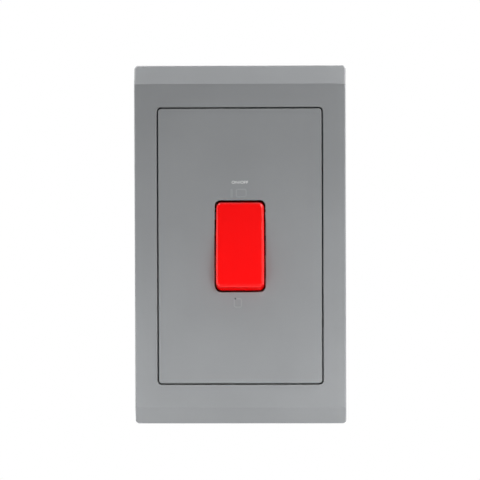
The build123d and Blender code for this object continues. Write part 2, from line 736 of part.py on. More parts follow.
# The two poles hold the same pieces side by side
for pole, pole_x in (("line", pole_offset), ("neutral", -pole_offset)):
    plunger_side = beside(rocker_side, pole_x)
    blade_side = beside(contact_side, pole_x)
    strip_side = beside(side, pole_x)

    # Plunger: round tip that presses the blade, collar in the tube, stem inside the spring
    with BuildPart() as plunger:
        with BuildSketch(plunger_side):
            with BuildLine():
                tip_centre = plunger_tip_radius - plunger_reach
                TangentArc((-plunger_reach, 0), (tip_centre, plunger_tip_radius), tangent=(0, 1))
                Polyline(
                    (tip_centre, plunger_tip_radius),
                    (-plunger_neck, plunger_tip_radius),
                    (plunger_diameter / 2 - plunger_tip_radius - plunger_neck, plunger_diameter / 2),
                    (-plunger_collar, plunger_diameter / 2),
                    (-plunger_collar, plunger_stem_diameter / 2),
                    (-plunger_stem_top, plunger_stem_diameter / 2),
                    (-plunger_stem_top, 0),
                    (-plunger_reach, 0),
                )
            make_face()
        revolve(axis=Axis(plunger_side.origin, plunger_side.x_dir))
    keep(plunger, f"{pole}_plunger")

    # Spring: round wire wound between the floor of the tube and the plunger's collar
    with BuildPart() as spring:
        spring_start = tube_floor + spring_seat_gap + spring_wire / 2
        spring_height = plunger_collar - tube_floor - 2 * spring_seat_gap - spring_wire
        with BuildLine() as coil:
            Helix(
                pitch=spring_height / spring_turns,
                height=spring_height,
                radius=(spring_diameter - spring_wire) / 2,
                center=plunger_side.origin - plunger_side.x_dir * spring_start,
                direction=-plunger_side.x_dir,
            )
        with BuildSketch(Plane(origin=coil.line @ 0, z_dir=coil.line % 0)):
            RegularPolygon(spring_wire / 2, spring_wire_sides)
        sweep(path=coil.line, is_frenet=True)
    keep(spring, f"{pole}_spring")

    # Moving contact: copper blade that rocks on the crest of the fulcrum strip
    with BuildPart() as moving_contact:
        with BuildSketch(contact_front.offset(blade_back)):
            with Locations((pole_x, (blade_upper - blade_lower) / 2)):
                RectangleRounded(blade_width, blade_upper + blade_lower, blade_corner)
            with Locations((pole_x, tip_arm)):
                Circle(tip_shank_diameter / 2 + tip_shank_clearance, mode=Mode.SUBTRACT)
        extrude(amount=blade_thickness)
        with BuildSketch(blade_side):
            Circle(contact_crest_radius + contact_groove_clearance)
        extrude(amount=blade_width, both=True, mode=Mode.SUBTRACT)
    keep(moving_contact, f"{pole}_moving_contact")

    # Moving tip: domed silver rivet through the end of the blade
    with BuildPart() as moving_tip:
        tip_radius = tip_diameter / 2
        dome_depth = tip_dome_radius - math.sqrt(tip_dome_radius**2 - tip_radius**2)
        tip_side = Plane(
            origin=blade_side.from_local_coords((0, tip_arm, 0)),
            x_dir=blade_side.x_dir,
            z_dir=blade_side.z_dir,
        )
        with BuildSketch(tip_side):
            with BuildLine():
                TangentArc((tip_face, 0), (tip_face + dome_depth, tip_radius), tangent=(0, 1))
                Polyline(
                    (tip_face + dome_depth, tip_radius),
                    (blade_back, tip_radius),
                    (blade_back, tip_shank_diameter / 2),
                    (blade_front, tip_shank_diameter / 2),
                    (blade_front, tip_head_diameter / 2),
                    (blade_front + tip_head_height, tip_shank_diameter / 2),
                    (blade_front + tip_head_height, 0),
                    (tip_face, 0),
                )
            make_face()
        revolve(axis=Axis(tip_side.origin, tip_side.x_dir))
    keep(moving_tip, f"{pole}_moving_tip")

    # Fulcrum strip: runs from the load terminal and turns up into the rounded crest
    with BuildPart() as fulcrum_strip:
        with BuildSketch(strip_side):
            with BuildLine():
                crest = contact_crest_radius
                Polyline(
                    (contact_height, -crest),
                    (strip_front, -crest),
                    (strip_front, -terminal_start),
                    (strip_back, -terminal_start),
                    (strip_back, crest),
                    (contact_height, crest),
                )
                ThreePointArc(
                    (contact_height, crest), (contact_height + crest, 0), (contact_height, -crest)
                )
            make_face()
        extrude(amount=strip_width / 2, both=True)
    keep(fulcrum_strip, f"{pole}_fulcrum_strip")

    # Fixed strip: runs from the supply terminal to the fixed tip
    with BuildPart() as fixed_strip:
        with BuildSketch(front.offset(strip_back)):
            with Locations((pole_x, (strip_start + terminal_start) / 2)):
                Rectangle(strip_width, terminal_start - strip_start)
            with Locations((pole_x, fixed_tip_z)):
                Circle(tip_shank_diameter / 2 + tip_shank_clearance, mode=Mode.SUBTRACT)
        extrude(amount=strip_thickness)
    keep(fixed_strip, f"{pole}_fixed_strip")

    with BuildPart() as fixed_tip:
        with BuildSketch(front.offset(strip_front)):
            with Locations((pole_x, fixed_tip_z)):
                Circle(fixed_tip_diameter / 2)
        extrude(amount=fixed_tip_height)
        with BuildSketch(front.offset(strip_back)):
            with Locations((pole_x, fixed_tip_z)):
                Circle(tip_shank_diameter / 2)
        extrude(amount=strip_thickness)
    keep(fixed_tip, f"{pole}_fixed_tip")

    # Terminals: drilled brass blocks, supply at the top and load at the bottom
    for role, end in (("supply", 1), ("load", -1)):
        with BuildPart() as terminal:
            with BuildSketch(front.offset(-terminal_front)):
                with Locations((pole_x, end * terminal_middle)):
                    Rectangle(terminal_width, terminal_length)
            extrude(amount=terminal_front - terminal_back)
            chamfer(terminal.edges().filter_by(Axis.Z), terminal_edge)
            with BuildSketch(Plane.XY.offset(end * terminal_middle)):
                with Locations((pole_x, -terminal_bore_height)):
                    Circle(terminal_bore / 2)
            extrude(amount=terminal_length, both=True, mode=Mode.SUBTRACT)
            with BuildSketch(front.offset(-terminal_back)):
                with Locations((pole_x, end * terminal_middle)):
                    with GridLocations(0, terminal_screw_pitch, 1, 2):
                        Circle(terminal_screw_diameter / 2 + terminal_screw_clearance)
            extrude(amount=terminal_bore_height + terminal_back, mode=Mode.SUBTRACT)
        keep(terminal, f"{pole}_{role}_terminal")
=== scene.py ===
import json
import math

import bmesh
import bpy
from mathutils import Matrix, Vector


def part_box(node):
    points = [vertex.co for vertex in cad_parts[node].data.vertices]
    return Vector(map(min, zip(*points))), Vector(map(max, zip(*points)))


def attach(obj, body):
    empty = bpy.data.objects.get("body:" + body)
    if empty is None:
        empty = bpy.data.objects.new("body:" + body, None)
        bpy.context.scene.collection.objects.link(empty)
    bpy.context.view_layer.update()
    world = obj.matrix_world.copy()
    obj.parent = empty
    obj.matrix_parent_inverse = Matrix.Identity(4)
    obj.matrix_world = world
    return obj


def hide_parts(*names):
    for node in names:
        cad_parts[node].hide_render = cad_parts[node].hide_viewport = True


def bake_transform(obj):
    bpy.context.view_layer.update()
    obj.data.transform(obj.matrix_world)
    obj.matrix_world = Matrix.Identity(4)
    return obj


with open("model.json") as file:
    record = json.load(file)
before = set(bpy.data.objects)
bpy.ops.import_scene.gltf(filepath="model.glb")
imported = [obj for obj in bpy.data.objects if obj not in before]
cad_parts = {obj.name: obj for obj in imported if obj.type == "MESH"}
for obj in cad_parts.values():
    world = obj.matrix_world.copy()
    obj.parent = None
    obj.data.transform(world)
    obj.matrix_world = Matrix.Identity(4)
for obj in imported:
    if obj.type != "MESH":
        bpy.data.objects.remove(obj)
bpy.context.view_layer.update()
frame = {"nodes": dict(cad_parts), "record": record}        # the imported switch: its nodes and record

scene = bpy.context.scene
scene.view_settings.view_transform = "Standard"
mm = 0.001
quarterTurn = math.radians(90)
print("frame loaded with", len(frame["nodes"]), "nodes")


def linear(hexColour):
    # sRGB hex to the linear colour that a socket takes
    channels = [int(hexColour[i:i + 2], 16) / 255 for i in (1, 3, 5)]
    levels = [c / 12.92 if c <= 0.04045 else ((c + 0.055) / 1.055) ** 2.4 for c in channels]
    return (*levels, 1.0)


def addNode(tree, kind, settings={}, inputs={}):
    # a value goes on the socket itself, and other nodes' outputs are linked to it
    made = tree.nodes.new(kind)
    for name, value in settings.items():
        setattr(made, name, value)
    for name, value in inputs.items():
        outputs = value if isinstance(value, list) else [value]
        for output in outputs:
            if isinstance(output, bpy.types.NodeSocket):
                tree.links.new(output, made.inputs[name])
            else:
                made.inputs[name].default_value = output
    return made


def newMaterial(name):
    material = bpy.data.materials.new(name)
    material.use_nodes = True
    material.node_tree.nodes.clear()
    return material


# Noise in the finishes: its detail, and the middle part of its range that is used
broadNoise = {"Detail": 3.0, "Roughness": 0.5}
grainNoise = {"Detail": 2.0, "Roughness": 0.6}
lineNoise = {"Detail": 2.0, "Roughness": 0.55}
flowSpan = {"From Min": 0.3, "From Max": 0.7}
patchSpan = {"From Min": 0.35, "From Max": 0.65}
fineSpan = {"From Min": 0.25, "From Max": 0.75}
mixDark, mixLight, mixResult = 6, 7, 2        # the colour sockets of a Mix node


def coverSurface(tree, finish, broad, broadSpan, fine, shine):
    # the broad noise drifts the tone, and the fine one gives the sheen and the relief
    tone = addNode(tree, "ShaderNodeMapRange", {}, {"Value": broad.outputs["Fac"], **broadSpan})
    colour = addNode(tree, "ShaderNodeMix", {"data_type": "RGBA"}, {
        "Factor": tone.outputs["Result"],
        mixDark: linear(finish["dark"]), mixLight: linear(finish["light"])})
    sheen = addNode(tree, "ShaderNodeMapRange", {}, {
        "Value": fine.outputs["Fac"], **fineSpan,
        "To Min": finish["smooth"], "To Max": finish["rough"]})
    relief = addNode(tree, "ShaderNodeBump", {}, {
        "Height": fine.outputs["Fac"], "Strength": finish["relief"],
        "Distance": finish["depthMm"] * mm})
    shader = addNode(tree, "ShaderNodeBsdfPrincipled", {}, {
        "Base Color": colour.outputs[mixResult], "Roughness": sheen.outputs["Result"],
        "Normal": relief.outputs["Normal"], **shine})
    addNode(tree, "ShaderNodeOutputMaterial", {}, {"Surface": shader.outputs["BSDF"]})


# Moulded plastics: slow drifts of tone where the melt flowed, and the spark-eroded grain of the tool,
# which is drawn coarser than it is so that it shows
def mouldedPlastic(finish):
    material = newMaterial(finish["name"])
    tree = material.node_tree
    where = addNode(tree, "ShaderNodeTexCoord").outputs["Object"]
    flow = addNode(tree, "ShaderNodeTexNoise", {}, {
        "Vector": where, "Scale": 1 / (finish["flowMm"] * mm), **broadNoise})
    grain = addNode(tree, "ShaderNodeTexNoise", {}, {
        "Vector": where, "Scale": 1 / (finish["grainMm"] * mm), **grainNoise})
    coverSurface(tree, finish, flow, flowSpan, grain, {
        "IOR": finish["ior"], "Specular IOR Level": finish["gloss"]})
    return material


# Metals: a faint tarnish in patches, and the lines left by the tool, drawn wider than they are so
# that they show
def workedMetal(finish):
    material = newMaterial(finish["name"])
    tree = material.node_tree
    where = addNode(tree, "ShaderNodeTexCoord").outputs["Object"]
    stretch = addNode(tree, "ShaderNodeMapping", {}, {
        "Vector": where, "Scale": tuple(1 / (size * mm) for size in finish["lineMm"])})
    lines = addNode(tree, "ShaderNodeTexNoise", {}, {
        "Vector": stretch.outputs["Vector"], "Scale": 1.0, **lineNoise})
    patches = addNode(tree, "ShaderNodeTexNoise", {}, {
        "Vector": where, "Scale": 1 / (finish["patchMm"] * mm), **broadNoise})
    coverSurface(tree, finish, patches, patchSpan, lines, {"Metallic": 1.0})
    return material


# Satin grey ABS: soft sheen and no clear reflections
greyAbs = mouldedPlastic({
    "name": "satinGreyAbs", "dark": "#898b8d", "light": "#8d8f91", "flowMm": 26.0, "grainMm": 0.9,
    "smooth": 0.4, "rough": 0.52, "relief": 0.12, "depthMm": 0.03, "ior": 1.54, "gloss": 0.5})

# Smooth faces of the raised signs: the same ABS with hardly any grain, its colour painted a little paler than the
# panel as painted highlight for the light the raised strokes catch
signAbsPaintedHighlight = mouldedPlastic({
    "name": "signGreyAbsPaintedHighlight", "dark": "#919496", "light": "#969a9c", "flowMm": 8.0, "grainMm": 0.5,
    "smooth": 0.3, "rough": 0.38, "relief": 0.03, "depthMm": 0.01, "ior": 1.54, "gloss": 0.5})

# Dark grey ABS of the hidden mounting plate: duller, with more flow marks
carrierAbs = mouldedPlastic({
    "name": "darkGreyAbs", "dark": "#74777a", "light": "#7c7f82", "flowMm": 14.0, "grainMm": 0.7,
    "smooth": 0.5, "rough": 0.62, "relief": 0.2, "depthMm": 0.03, "ior": 1.54, "gloss": 0.5})

# Red polycarbonate: a polished cap, full colour with a clear soft gloss along its rounded edges
redPolycarbonate = mouldedPlastic({
    "name": "redPolycarbonate", "dark": "#fb0305", "light": "#fd0507", "flowMm": 12.0, "grainMm": 0.8,
    "smooth": 0.2, "rough": 0.27, "relief": 0.05, "depthMm": 0.02, "ior": 1.58, "gloss": 0.65})

# Black nylon of the cradle: dull, so the slit beside the rocker stays dark
blackNylon = mouldedPlastic({
    "name": "blackNylon", "dark": "#141415", "light": "#1c1c1e", "flowMm": 6.0, "grainMm": 0.6,
    "smooth": 0.45, "rough": 0.6, "relief": 0.12, "depthMm": 0.02, "ior": 1.53, "gloss": 0.3})

# White nylon of the sliding pieces: milky, with a waxy sheen
whiteNylon = mouldedPlastic({
    "name": "whiteNylon", "dark": "#dedcd4", "light": "#e8e6df", "flowMm": 6.0, "grainMm": 0.6,
    "smooth": 0.38, "rough": 0.5, "relief": 0.12, "depthMm": 0.02, "ior": 1.53, "gloss": 0.5})

# Urea thermoset of the housing: bone white, hard and slightly mottled
ureaThermoset = mouldedPlastic({
    "name": "ureaThermoset", "dark": "#cdcabf", "light": "#d4d1c6", "flowMm": 16.0, "grainMm": 0.8,
    "smooth": 0.32, "rough": 0.46, "relief": 0.15, "depthMm": 0.03, "ior": 1.6, "gloss": 0.5})

# Machined brass: warm, with the cutter's lines across the block
machinedBrass = workedMetal({
    "name": "machinedBrass", "dark": "#c39a4c", "light": "#d8b264", "patchMm": 5.0,
    "lineMm": (0.25, 6.0, 6.0), "smooth": 0.22, "rough": 0.38, "relief": 0.2, "depthMm": 0.02})

# Stamped copper: rolled lines along the strip and brown patches of tarnish
stampedCopper = workedMetal({
    "name": "stampedCopper", "dark": "#b06a4a", "light": "#cf8a63", "patchMm": 4.0,
    "lineMm": (0.3, 5.0, 8.0), "smooth": 0.25, "rough": 0.42, "relief": 0.2, "depthMm": 0.02})

# Contact silver: pale and soft, dulled by use
contactSilver = workedMetal({
    "name": "contactSilver", "dark": "#c8c6c0", "light": "#e2e0da", "patchMm": 1.5,
    "lineMm": (0.4, 0.4, 0.4), "smooth": 0.28, "rough": 0.45, "relief": 0.15, "depthMm": 0.01})

# Zinc plated steel: cool grey with a faint blue passivation
platedSteel = workedMetal({
    "name": "zincPlatedSteel", "dark": "#aeb2b8", "light": "#c6c8c9", "patchMm": 3.0,
    "lineMm": (0.35, 2.0, 0.35), "smooth": 0.24, "rough": 0.4, "relief": 0.15, "depthMm": 0.01})

# Spring steel: drawn wire, darker, finely speckled all over
springSteel = workedMetal({
    "name": "drawnSpringSteel", "dark": "#8d8f92", "light": "#a9abad", "patchMm": 2.0,
    "lineMm": (0.2, 0.2, 0.2), "smooth": 0.22, "rough": 0.36, "relief": 0.1, "depthMm": 0.01})

# White screen ink: flat, with the slight unevenness of a thin print
whiteInk = mouldedPlastic({
    "name": "whiteInk", "dark": "#e4e4e4", "light": "#f2f2f2", "flowMm": 1.2, "grainMm": 0.5,
    "smooth": 0.5, "rough": 0.65, "relief": 0.1, "depthMm": 0.01, "ior": 1.5, "gloss": 0.4})

# Painted shade: a flat dark grey, darker than the panel it lies on, for the dark spot by the lower sign
paintedShadeGrey = mouldedPlastic({
    "name": "paintedShadeGrey", "dark": "#4c5058", "light": "#565a62", "flowMm": 1.2, "grainMm": 0.5,
    "smooth": 0.5, "rough": 0.65, "relief": 0.1, "depthMm": 0.01, "ior": 1.5, "gloss": 0.4})

slotMaterials = {
    "grey_plastic": greyAbs, "carrier_plastic": carrierAbs, "red_plastic": redPolycarbonate,
    "black_plastic": blackNylon, "white_plastic": whiteNylon, "thermoset": ureaThermoset,
    "brass": machinedBrass, "copper": stampedCopper, "silver": contactSilver,
    "plated_steel": platedSteel, "spring_steel": springSteel,
}
for part in frame["record"]["subparts"]:
    for materialSlot in frame["nodes"][part["node"]].material_slots:
        materialSlot.material = slotMaterials[part["material_slot"]]

poles = ("line", "neutral")
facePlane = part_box("front_panel")[0].y
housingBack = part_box("switch_housing")[1].y
seamMm = 0.001        # corners nearer than this are one


def addPiece(name, mesh, material, body):
    piece = bpy.data.objects.new(name, mesh)
    scene.collection.objects.link(piece)
    mesh.materials.clear()
    mesh.materials.append(material)
    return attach(piece, body)


def closeSeams(mesh):
    # joins faces that only lie side by side at their shared corners
    form = bmesh.new()
    form.from_mesh(mesh)
    bmesh.ops.remove_doubles(form, verts=form.verts, dist=seamMm * mm)
    form.to_mesh(mesh)
    form.free()


# Lettering of all kinds, before it is scaled to the size it is asked for
lettering = {"halfDepth": 0.5, "curveSteps": 3}


def letteringMesh(words, widthMm, heightMm, thickMm):
    # text upright and centred on the X-Z plane, which it stands out of towards the front
    curve = bpy.data.curves.new("lettering", "FONT")
    curve.body = words
    curve.extrude = lettering["halfDepth"]
    curve.resolution_u = lettering["curveSteps"]
    holder = bpy.data.objects.new("lettering", curve)
    mesh = bpy.data.meshes.new_from_object(holder)
    bpy.data.objects.remove(holder)
    bpy.data.curves.remove(curve)
    xs = [vertex.co.x for vertex in mesh.vertices]
    ys = [vertex.co.y for vertex in mesh.vertices]
    middle = Vector(((min(xs) + max(xs)) / 2, (min(ys) + max(ys)) / 2, 0))
    across = widthMm * mm / (max(xs) - min(xs))
    tall = heightMm * mm / (max(ys) - min(ys))
    for vertex in mesh.vertices:
        flat = vertex.co - middle
        depth = flat.z + lettering["halfDepth"]
        vertex.co = (flat.x * across, -depth * thickMm * mm, flat.y * tall)
    closeSeams(mesh)
    return mesh


# Legend above the rocker, screen printed in white
legend = {
    "words": "ON/OFF", "widthMm": 6.7, "heightMm": 1.1, "thickMm": 0.03, "centreMm": (0.0, 26.0),
}


def legendMesh(spec):
    mesh = letteringMesh(spec["words"], spec["widthMm"], spec["heightMm"], spec["thickMm"])
    place = (spec["centreMm"][0] * mm, facePlane, spec["centreMm"][1] * mm)
    mesh.transform(Matrix.Translation(place))
    return mesh


addPiece("legend_print", legendMesh(legend), whiteInk, "wall_unit")
print("legend printed")

# Raised signs on the panel: a bar and a square ring above the rocker, a square ring below it
signs = {
    "proudMm": 0.08, "sinkMm": 0.05, "strokeMm": 0.5, "draftMm": 0.05, "arcSteps": 4,
    "shapes": [
        {"centreMm": (-3.4, 21.5), "sizeMm": (0.9, 3.6), "cornerMm": 0.4, "hollow": False},
        {"centreMm": (0.5, 21.6), "sizeMm": (4.4, 3.6), "cornerMm": 0.9, "hollow": True},
        {"centreMm": (-1.0, -23.1), "sizeMm": (3.4, 3.9), "cornerMm": 0.9, "hollow": True},
    ],
}


def roundedLoop(shape, inset, steps):
    # a rounded rectangle in mm, drawn in on all sides by the inset
    corner = shape["cornerMm"] - inset
    reach = [size / 2 - inset - corner for size in shape["sizeMm"]]
    points = []
    for quarter, (signX, signZ) in enumerate(((1, 1), (-1, 1), (-1, -1), (1, -1))):
        for step in range(steps + 1):
            angle = quarterTurn * (quarter + step / steps)
            points.append((
                shape["centreMm"][0] + signX * reach[0] + corner * math.cos(angle),
                shape["centreMm"][1] + signZ * reach[1] + corner * math.sin(angle)))
    return points


def raisedSigns(spec):
    back = facePlane + spec["sinkMm"] * mm
    front = facePlane - spec["proudMm"] * mm
    form = bmesh.new()
    for shape in spec["shapes"]:
        levels = [(0, back), (spec["draftMm"], front)]
        if shape["hollow"]:
            levels += [(spec["strokeMm"] - spec["draftMm"], front), (spec["strokeMm"], back)]
        rows = []
        for inset, level in levels:
            loop = roundedLoop(shape, inset, spec["arcSteps"])
            rows.append([form.verts.new((x * mm, level, z * mm)) for x, z in loop])
        if shape["hollow"]:
            rows.append(rows[0])
        else:
            form.faces.new(rows[0])
            form.faces.new(rows[-1])
        for first, second in zip(rows, rows[1:]):
            for i in range(len(first)):
                form.faces.new((first[i - 1], first[i], second[i], second[i - 1]))
    bmesh.ops.recalc_face_normals(form, faces=form.faces)
    mesh = bpy.data.meshes.new("raised_signs")
    form.to_mesh(mesh)
    form.free()
    return mesh


# the signs' paler colour is painted highlight, not a colour of their own
addPiece("raised_signs", raisedSigns(signs), signAbsPaintedHighlight, "wall_unit")
print("signs raised")

# Dot of painted shade at the upper left of the lower sign: a dark grey disc set as deep in the panel as it stands
# out
dot = {
    "centreMm": (-2.0, -21.4), "radiusMm": 0.4, "topRadiusMm": 0.36, "thickMm": 0.11, "sides": 24,
}


def dotMesh(spec):
    form = bmesh.new()
    bmesh.ops.create_cone(
        form, cap_ends=True, segments=spec["sides"], radius1=spec["radiusMm"] * mm,
        radius2=spec["topRadiusMm"] * mm, depth=2 * spec["thickMm"] * mm,
        matrix=Matrix.Rotation(quarterTurn, 4, "X"))
    place = (spec["centreMm"][0] * mm, facePlane, spec["centreMm"][1] * mm)
    bmesh.ops.translate(form, verts=form.verts, vec=place)
    mesh = bpy.data.meshes.new("painted_shade_dot")
    form.to_mesh(mesh)
    form.free()
    return mesh


# the dot is painted shade: coloured dark to stand for a spot of shade on the panel
addPiece("painted_shade_dot", dotMesh(dot), paintedShadeGrey, "wall_unit")
print("dot printed")

# Raised marks on the housing's back, read from behind: the poles, and the supply and load ends.
# Each is sunk as deep as it stands out
backMarks = {
    "letterMm": (2.45, 3.4), "wordLetterMm": (1.64, 2.0), "proudMm": 0.25, "outwardMm": 7.6,
    "wordInsetMm": 15.6, "clearMm": 10.0,
}


def backMarkMesh(spec):
    letterWidth, letterHeight = spec["wordLetterMm"]
    marks = []
    for end in ("supply", "load"):
        for pole in poles:
            low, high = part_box(pole + "_" + end + "_terminal")
            middle = (low + high) / 2
            outward = math.copysign(spec["outwardMm"] * mm, middle.x)
            marks.append((pole[0].upper(), spec["letterMm"], middle.x + outward, middle.z))
        height = math.copysign(spec["wordInsetMm"] * mm, middle.z)
        marks.append((end.upper(), (letterWidth * len(end), letterHeight), 0.0, height))
    form = bmesh.new()
    for words, (wide, tall), x, z in marks:
        start = Vector((x, housingBack + spec["clearMm"] * mm, z))
        surface = frame["nodes"]["switch_housing"].ray_cast(start, Vector((0, -1, 0)))[1]
        place = Matrix.Translation((x, surface.y - spec["proudMm"] * mm, z))
        mesh = letteringMesh(words, wide, tall, 2 * spec["proudMm"])
        mesh.transform(place @ Matrix.Rotation(math.pi, 4, "Z"))
        form.from_mesh(mesh)
        bpy.data.meshes.remove(mesh)
    joined = bpy.data.meshes.new("terminal_marks")
    form.to_mesh(joined)
    form.free()
    return joined


addPiece("terminal_marks", backMarkMesh(backMarks), ureaThermoset, "wall_unit")
print("terminals marked")

# Fixing screws: slotted countersunk heads, plain necks and a rolled thread. The slot is a width and a
# depth, and its cutter is as many head radii long as slotReach says
fixing = {
    "count": 2, "neckMm": 3.0, "majorMm": 3.5, "threadPitchMm": 0.6, "threadDepthMm": 0.3,
    "tipMm": 1.0, "tipRadiusMm": 0.725, "slotMm": (1.0, 0.9), "slotReach": 3.0,
    "sides": 32, "threadSides": 16, "ridgeSides": 3,
}


def screwTree():
    # one screw along Z with its head up, set on points in a row with its head to the front
    tree = bpy.data.node_groups.new("threadedScrews", "GeometryNodeTree")
    tree.interface.new_socket("Geometry", in_out="OUTPUT", socket_type="NodeSocketGeometry")
    sockets = {
        "NodeSocketFloat": (
            "Head Radius", "Head Depth", "Neck Radius", "Neck Length", "Core Radius",
            "Thread Length", "Thread Turns", "Thread Depth", "Tip Radius", "Tip Length"),
        "NodeSocketVector": (
            "Head Place", "Slot Box", "Slot Place", "Core Place", "Tip Place", "First Place",
            "Step"),
        "NodeSocketInt": ("Screws", "Sides", "Thread Sides", "Ridge Sides"),
        "NodeSocketMaterial": ("Material",),
    }
    for kind, names in sockets.items():
        for name in names:
            tree.interface.new_socket(name, in_out="INPUT", socket_type=kind)
    given = addNode(tree, "NodeGroupInput").outputs
    cones = {}
    for name, top, bottom, depth in (
            ("head", "Head Radius", "Neck Radius", "Head Depth"),
            ("neck", "Neck Radius", "Neck Radius", "Neck Length"),
            ("core", "Core Radius", "Core Radius", "Thread Length"),
            ("tip", "Core Radius", "Tip Radius", "Tip Length")):
        cones[name] = addNode(tree, "GeometryNodeMeshCone", {}, {
            "Vertices": given["Sides"], "Radius Top": given[top], "Radius Bottom": given[bottom],
            "Depth": given[depth]}).outputs["Mesh"]
    slotCut = addNode(tree, "GeometryNodeMeshCube", {}, {"Size": given["Slot Box"]})
    helix = addNode(tree, "GeometryNodeCurveSpiral", {}, {
        "Resolution": given["Thread Sides"], "Rotations": given["Thread Turns"],
        "Start Radius": given["Core Radius"], "End Radius": given["Core Radius"],
        "Height": given["Thread Length"]})
    upright = addNode(tree, "GeometryNodeSetCurveNormal", {"mode": "Z_UP"}, {
        "Curve": helix.outputs["Curve"]})
    ridge = addNode(tree, "GeometryNodeCurvePrimitiveCircle", {"mode": "RADIUS"}, {
        "Resolution": given["Ridge Sides"], "Radius": given["Thread Depth"]})
    thread = addNode(tree, "GeometryNodeCurveToMesh", {}, {
        "Curve": upright.outputs["Curve"], "Profile Curve": ridge.outputs["Curve"],
        "Fill Caps": True})
    placed = {}
    for name, geometry, place in (
            ("head", cones["head"], "Head Place"), ("slot", slotCut.outputs["Mesh"], "Slot Place"),
            ("core", cones["core"], "Core Place"), ("tip", cones["tip"], "Tip Place"),
            ("thread", thread.outputs["Mesh"], "Core Place")):
        placed[name] = addNode(tree, "GeometryNodeTransform", {}, {
            "Geometry": geometry, "Translation": given[place]}).outputs["Geometry"]
    blank = addNode(tree, "GeometryNodeMeshBoolean", {"operation": "UNION", "solver": "EXACT"}, {
        "Mesh 2": [
            placed["head"], cones["neck"], placed["core"], placed["tip"], placed["thread"]]})
    screw = addNode(tree, "GeometryNodeMeshBoolean", {
        "operation": "DIFFERENCE", "solver": "EXACT"}, {
        "Mesh 1": blank.outputs["Mesh"], "Mesh 2": placed["slot"]})
    places = addNode(tree, "GeometryNodeMeshLine", {"mode": "OFFSET"}, {
        "Count": given["Screws"], "Start Location": given["First Place"], "Offset": given["Step"]})
    row = addNode(tree, "GeometryNodeInstanceOnPoints", {}, {
        "Points": places.outputs["Mesh"], "Instance": screw.outputs["Mesh"],
        "Rotation": (quarterTurn, 0, 0)})
    real = addNode(tree, "GeometryNodeRealizeInstances", {}, {
        "Geometry": row.outputs["Instances"]})
    coated = addNode(tree, "GeometryNodeSetMaterial", {}, {
        "Geometry": real.outputs["Geometry"], "Material": given["Material"]})
    addNode(tree, "NodeGroupOutput", {}, {"Geometry": coated.outputs["Geometry"]})
    return tree


def screwMesh(spec):
    # the head flares at 45 degrees, and the neck ends at the wall, which is the plane Y = 0
    low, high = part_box("fixing_screws")
    headRadius = (high.x - low.x) / 2
    neckRadius = spec["neckMm"] / 2 * mm
    headDepth = headRadius - neckRadius
    neckLength = -low.y - headDepth
    tipLength = spec["tipMm"] * mm
    threadDepth = spec["threadDepthMm"] * mm
    threadLength = high.y - tipLength
    slotWidth, slotDepth = (size * mm for size in spec["slotMm"])
    spacing = high.z - low.z - 2 * headRadius
    values = {
        "Head Radius": headRadius, "Head Depth": headDepth, "Head Place": (0, 0, neckLength),
        "Neck Radius": neckRadius, "Neck Length": neckLength,
        "Core Radius": spec["majorMm"] / 2 * mm - threadDepth, "Core Place": (0, 0, -threadLength),
        "Thread Length": threadLength, "Thread Depth": threadDepth,
        "Thread Turns": threadLength / (spec["threadPitchMm"] * mm),
        "Tip Radius": spec["tipRadiusMm"] * mm, "Tip Length": tipLength,
        "Tip Place": (0, 0, -threadLength - tipLength),
        "Slot Box": (spec["slotReach"] * headRadius, slotWidth, 2 * slotDepth),
        "Slot Place": (0, 0, -low.y),
        "First Place": (0, 0, -spacing / 2), "Step": (0, 0, spacing), "Screws": spec["count"],
        "Sides": spec["sides"], "Thread Sides": spec["threadSides"],
        "Ridge Sides": spec["ridgeSides"], "Material": platedSteel,
    }
    holder = bpy.data.objects.new("screw_holder", bpy.data.meshes.new("screw_holder"))
    scene.collection.objects.link(holder)
    modifier = holder.modifiers.new("threadedScrews", "NODES")
    modifier.node_group = screwTree()
    for item in modifier.node_group.interface.items_tree:
        if item.in_out == "INPUT":
            modifier[item.identifier] = values[item.name]
    solved = holder.evaluated_get(bpy.context.evaluated_depsgraph_get())
    mesh = bpy.data.meshes.new_from_object(solved)
    holder.modifiers.remove(modifier)
    bpy.data.objects.remove(holder)
    return mesh


screws = addPiece(
    "threaded_fixing_screws", screwMesh(fixing), platedSteel, "wall_unit")
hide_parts("fixing_screws")
print("screws threaded")


def addCoil(pole):
    node = frame["nodes"][pole + "_spring"]
    mesh = node.data.copy()
    mesh.transform(node.matrix_world)
    closeSeams(mesh)
    mesh.materials.clear()
    mesh.materials.append(springSteel)
    coil = bpy.data.objects.new(pole + "_coil", mesh)
    scene.collection.objects.link(coil)
    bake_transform(coil)
    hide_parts(pole + "_spring")


for pole in poles:
    addCoil(pole)
print("springs coiled")

# Camera: almost square on, a little above and a little to the right of the plate
cameraSetup = {
    "azimuth": 1.9, "elevation": 2.3, "roll": -0.19, "distanceMm": 2000.0, "acrossMm": 195.3,
    "targetMm": (-0.04, -9.0, 2.5), "sensorMm": 36.0, "clipMm": 10.0,
}


def addCamera(spec):
    data = bpy.data.cameras.new("photo_camera")
    data.sensor_width = spec["sensorMm"]
    data.lens = spec["sensorMm"] * spec["distanceMm"] / spec["acrossMm"]
    data.clip_start = spec["clipMm"] * mm
    camera = bpy.data.objects.new("photo_camera", data)
    scene.collection.objects.link(camera)
    turn = math.radians(spec["azimuth"])
    lift = math.radians(spec["elevation"])
    back = Vector((
        math.sin(turn) * math.cos(lift), -math.cos(turn) * math.cos(lift), math.sin(lift)))
    target = Vector(spec["targetMm"]) * mm
    camera.location = target + back * spec["distanceMm"] * mm
    aim = (-back).to_track_quat("-Z", "Y").to_matrix()
    roll = Matrix.Rotation(math.radians(spec["roll"]), 3, "Z")
    camera.rotation_euler = (aim @ roll).to_euler()
    scene.camera = camera


addCamera(cameraSetup)
print("camera set")

